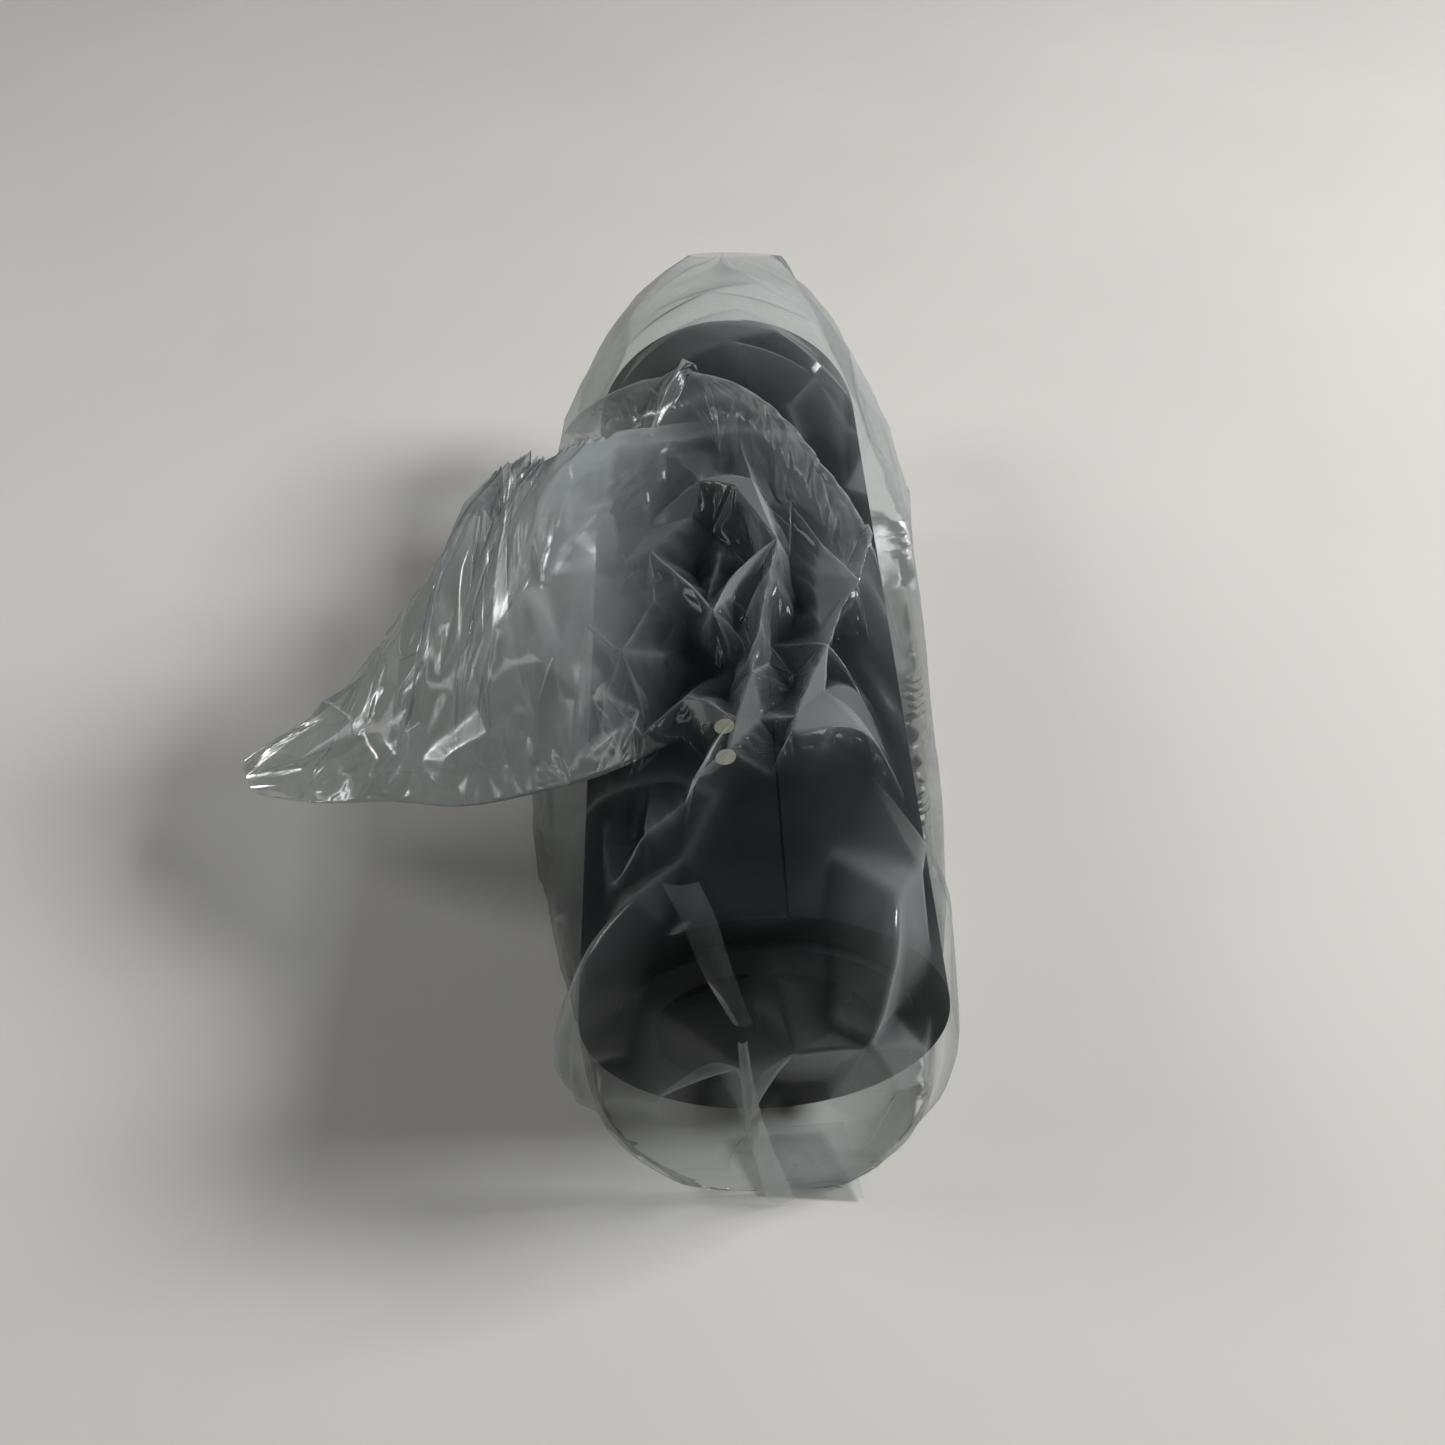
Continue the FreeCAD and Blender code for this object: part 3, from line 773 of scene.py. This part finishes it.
def fold_film(seed=11):
    """The mouth folded back over the top, up to its curled crest, as creased_sheet gives it."""
    columns, rows, curl = 120, 110, 16
    near, crest = catmull(FOLD_NEAR, columns), catmull(FOLD_CREST, columns)
    rise = catmull(np.array(FOLD_RISE)[:, None], columns)[:, 0]
    share = np.linspace(0, 1, rows)[:, None]
    degrees = near[None, :, 0] + (crest[None, :, 0] - near[None, :, 0]) * share
    along = near[None, :, 1] + (crest[None, :, 1] - near[None, :, 1]) * share
    swell = np.clip((share - 0.55) / 0.45, 0, 1) ** 1.5
    radius = BODY_RADIUS + rise[None, :] * swell
    turn = np.radians(degrees)
    body = np.stack([radius * np.sin(turn), along, AXIS_HEIGHT / MM + radius * np.cos(turn)], -1)
    outward = np.stack([np.sin(turn), np.zeros_like(turn), np.cos(turn)], -1)
    last, ahead = body[-1], body[-1] - body[-6]
    ahead /= np.linalg.norm(ahead, axis=1, keepdims=True)
    up = outward[-1]
    bend = np.minimum(3.2, 0.42 * rise)[:, None]
    lip, lip_way = [], []
    for step in range(1, curl + 1):
        angle = math.pi * min(1, step / (curl - 6))
        back = max(0, step - (curl - 6)) * 1.3
        lip.append(last + ahead * (bend * math.sin(angle) - back) - up * bend * (1 - math.cos(angle)))
        lip_way.append(ahead * math.sin(angle) + up * math.cos(angle))
    grid = np.concatenate([body, np.array(lip)])
    outward = np.concatenate([outward, np.array(lip_way)])
    ridges = [[(on_roll(turn, place), height) for turn, place, height in ridge] for ridge in FOLD_RIDGES]
    return creased_sheet(grid, outward, ridges, 8.0, seed, 2.8, 0.5, calm=0.78)


# the flopped mouth: rows from the shoulder to the tip, each from the near to the far edge
FLAP_UPPER = (
    ((-10, -42, 60), (-8, -24, 63), (-6, -6, 65), (-5, 12, 67), (-3, 27, 70)),
    ((-24, -44, 53), (-25, -26, 60), (-25, -8, 63), (-21, 11, 66), (-15, 28, 69)),
    ((-36, -42, 46), (-38, -24, 56), (-38, -6, 60), (-35, 12, 64), (-30, 27.5, 66)),
    ((-50, -38, 38), (-51, -24, 48), (-51, -8, 53), (-49, 8, 58), (-45, 27, 61)),
    ((-65, -30, 30), (-64, -20, 38), (-63, -9, 42), (-61, 4, 45), (-59, 14, 47)),
    ((-80, -25, 24), (-80, -19, 30), (-79, -13, 32), (-78, -8, 33), (-77, -5, 33)),
    ((-92, -20, 20.5), (-94, -18, 22.5), (-95, -16, 23), (-96, -14, 22.5), (-96, -11.5, 22)),
)
FLAP_SLACK = (0.8, 1.5, 6.0, 9.0, 8.0, 4.0, 0.6)
FLAP_RIDGES = (
    (((-44, 22, 60), 2), ((-50, 6, 55), 5), ((-54, -8, 49), 4), ((-58, -22, 42), 2)),
    (((-60, 10, 47), 2), ((-62, -4, 45), 4.5), ((-62, -16, 39), 1)),
    (((-30, 20, 64), 2), ((-36, 4, 61), 4), ((-42, -14, 54), 3), ((-48, -34, 42), 1)),
    (((-68, -3, 40), 2), ((-78, -10, 34), 4), ((-90, -16, 26), 2)),
    (((-72, -24, 30), 1.5), ((-60, -22, 40), 3), ((-48, -26, 46), 3.5), ((-36, -30, 52), 3)),
    (((-84, -10, 30), 1), ((-82, -20, 29), 3)),
    (((-34, -38, 48), 1), ((-50, -32, 42), 3), ((-66, -26, 33), 3), ((-82, -22, 25), 1)),
)


def flap_film(seed=21):
    """The flopped mouth's two layers, joined along both side folds, as creased_sheet gives them."""
    rows, columns = 90, 60
    upper = surface_through(FLAP_UPPER, rows, columns)
    slack = catmull(np.array(FLAP_SLACK)[:, None], rows)
    belly = np.sin(np.linspace(0, math.pi, columns))[None, :]
    lower = upper[:, ::-1].copy()
    lower[..., 2] -= 0.25 + (slack * belly)
    sides = np.concatenate([upper, lower[:, 1:]], 1)
    normal = np.cross(np.gradient(sides, axis=0), np.gradient(sides, axis=1))
    normal /= np.linalg.norm(normal, axis=2, keepdims=True) + 1e-9
    normal *= np.sign(normal[rows // 2, columns // 2, 2])
    beside_folds = np.abs(np.sin(np.linspace(0, 2 * math.pi, sides.shape[1])))[None, :, None]
    normal *= np.clip(2.2 * beside_folds, 0.12, 1)
    return creased_sheet(sides - normal * 0.8, normal, FLAP_RIDGES, 12.5, seed, 3.2, 0.35, closed=True)


def shared_film(settings):
    """The film's material, made once."""
    return bpy.data.materials.get("polythene") or film_material("polythene", settings)


class ROLL_OT_bag(bpy.types.Operator):
    """Make the film round the roll, its closed far end and the film down the near end"""
    bl_idname = "backdrop_roll.bag"
    bl_label = "Bag"

    def execute(self, context):
        settings = context.scene.roll_film
        points, faces, lift, sharp = tube_film()
        far = np.clip((points[:, 1] - FAR_START) / FAR_SPAN, 0, 1)
        near = np.clip((NEAR_START - points[:, 1]) / NEAR_SPAN, 0, 1) * np.clip(points[:, 2] / 12, 0, 1)
        gap = (np.maximum(standoff(points) - 0.6, 0) + 5 * far) * (1 - near) + (0.5 + 1.5 * lift) * near
        bands = np.clip(lift / 3, 0, 1)
        haze = settings.haze * (1 - np.exp(-gap / FADE_DEPTH)) * (1 + far * (1.1 + 2.4 * bands) + 0.7 * near)
        shine = settings.gloss * (FLUSH_SHINE + (1 - FLUSH_SHINE) * (1 - np.exp(-gap / SHINE_DEPTH)))
        parts = [(points, faces, haze + settings.crease_haze * 0.5 * sharp * (1 - 0.75 * far), shine)]
        for path, widths in STRIPS:
            parts.append((*strip(path, widths), 1.1 * settings.haze, 0.3 * settings.gloss))
        parts.append((*floor_ear(), 3.6 * settings.haze, settings.gloss))
        points, faces, haze, shine = join(parts)
        bag = film_object("bag_film", points, faces, haze, shine, shared_film(settings))
        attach(bag, "bag")
        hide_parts("bag_tube", "bag_far_end", "bag_near_end")
        return {"FINISHED"}


class ROLL_OT_fold(bpy.types.Operator):
    """Fold the spare length of the bag's mouth back over the top of the roll"""
    bl_idname = "backdrop_roll.fold"
    bl_label = "Folded mouth"

    def execute(self, context):
        settings = context.scene.roll_film
        points, faces, across, along, _, sharp = fold_film()
        edge = np.maximum(np.clip(1.5 - along / 0.12, 0, 1), np.clip((along - 0.9) / 0.05, 0, 1))
        edge = np.maximum(edge, np.clip((across - 0.82) / 0.1, 0, 1))
        points = settled(points, faces, np.maximum(np.clip(sharp * 1.2, 0, 1), edge), 0.022)
        points, faces, across, along, sharp = refined(points, faces, across, along, sharp)
        fade = np.clip(along / 0.11, 0, 1) * np.clip((1 - across) / 0.16, 0, 1)
        lip = np.clip((along - 0.82) / 0.1, 0, 1)
        gap = np.maximum(standoff(points) - FLUSH_GAP, 0)
        haze = settings.haze * (1.8 + 1.4 * lip) * (1 - np.exp(-gap / FADE_DEPTH))
        shine = settings.gloss * (FLUSH_SHINE + (1 - FLUSH_SHINE) * (1 - np.exp(-gap / SHINE_DEPTH)))
        fold = film_object("folded_mouth_film", points, faces, (haze + settings.crease_haze * sharp) * fade,
                           shine * fade * np.clip(along / 0.3, 0, 1), shared_film(settings))
        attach(fold, "bag")
        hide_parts("bag_fold_over")
        return {"FINISHED"}


class ROLL_OT_flap(bpy.types.Operator):
    """Flop the end of the bag's mouth out to the left, two layers of film thick"""
    bl_idname = "backdrop_roll.flap"
    bl_label = "Mouth flap"

    def execute(self, context):
        settings = context.scene.roll_film
        points, faces, across, along, _, sharp = flap_film()
        side_folds = np.clip(1 - np.abs(np.sin(2 * math.pi * across)) / 0.3, 0, 1)
        held = np.maximum(np.clip(1 - along / 0.12, 0, 1), side_folds)
        points = settled(points, faces, np.maximum(sharp, held), 0.009)
        points, faces, along, sharp = refined(points, faces, along, sharp)
        fade = np.clip((along - 0.02) / 0.2, 0, 1) ** 1.3
        root = np.exp(-((along - 0.28) / 0.17) ** 2)
        haze = settings.haze * (2.0 + 2.6 * root) + 0.7 * settings.crease_haze * sharp
        flap = film_object("mouth_flap_film", points, faces, haze * fade, settings.gloss * 0.7 * fade,
                           shared_film(settings))
        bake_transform(flap)
        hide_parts("bag_mouth_flap")
        return {"FINISHED"}


# ---------------------------------------------------------------- sidebar

class ROLL_PT_sidebar(bpy.types.Panel):
    """Buttons and settings of the bagged roll"""
    bl_idname = "ROLL_PT_sidebar"
    bl_label = "Backdrop roll"
    bl_space_type = "VIEW_3D"
    bl_region_type = "UI"
    bl_category = "Backdrop roll"

    def draw(self, context):
        column = self.layout.column(align=True)
        for operator in OPERATORS:
            column.operator(operator.bl_idname)
        for group in (context.scene.roll_stage, context.scene.roll_sizes, context.scene.roll_film):
            box = self.layout.box()
            for name in group.bl_rna.properties.keys():
                if name not in ("rna_type", "name"):
                    box.prop(group, name)


# ---------------------------------------------------------------- main

OPERATORS = (ROLL_OT_stage, ROLL_OT_paper, ROLL_OT_core, ROLL_OT_bag, ROLL_OT_fold, ROLL_OT_flap)
CLASSES = (RollSettings, FilmSettings, StageSettings, *OPERATORS, ROLL_PT_sidebar)


def register():
    for item in CLASSES:
        bpy.utils.register_class(item)
    bpy.types.Scene.roll_sizes = bpy.props.PointerProperty(type=RollSettings)
    bpy.types.Scene.roll_film = bpy.props.PointerProperty(type=FilmSettings)
    bpy.types.Scene.roll_stage = bpy.props.PointerProperty(type=StageSettings)


def unregister():
    del bpy.types.Scene.roll_stage
    del bpy.types.Scene.roll_film
    del bpy.types.Scene.roll_sizes
    for item in reversed(CLASSES):
        bpy.utils.unregister_class(item)


def main():
    register()
    bpy.ops.backdrop_roll.stage()
    bpy.ops.backdrop_roll.paper()
    bpy.ops.backdrop_roll.core()
    bpy.ops.backdrop_roll.bag()
    bpy.ops.backdrop_roll.fold()
    bpy.ops.backdrop_roll.flap()


if __name__ == "__main__":
    main()
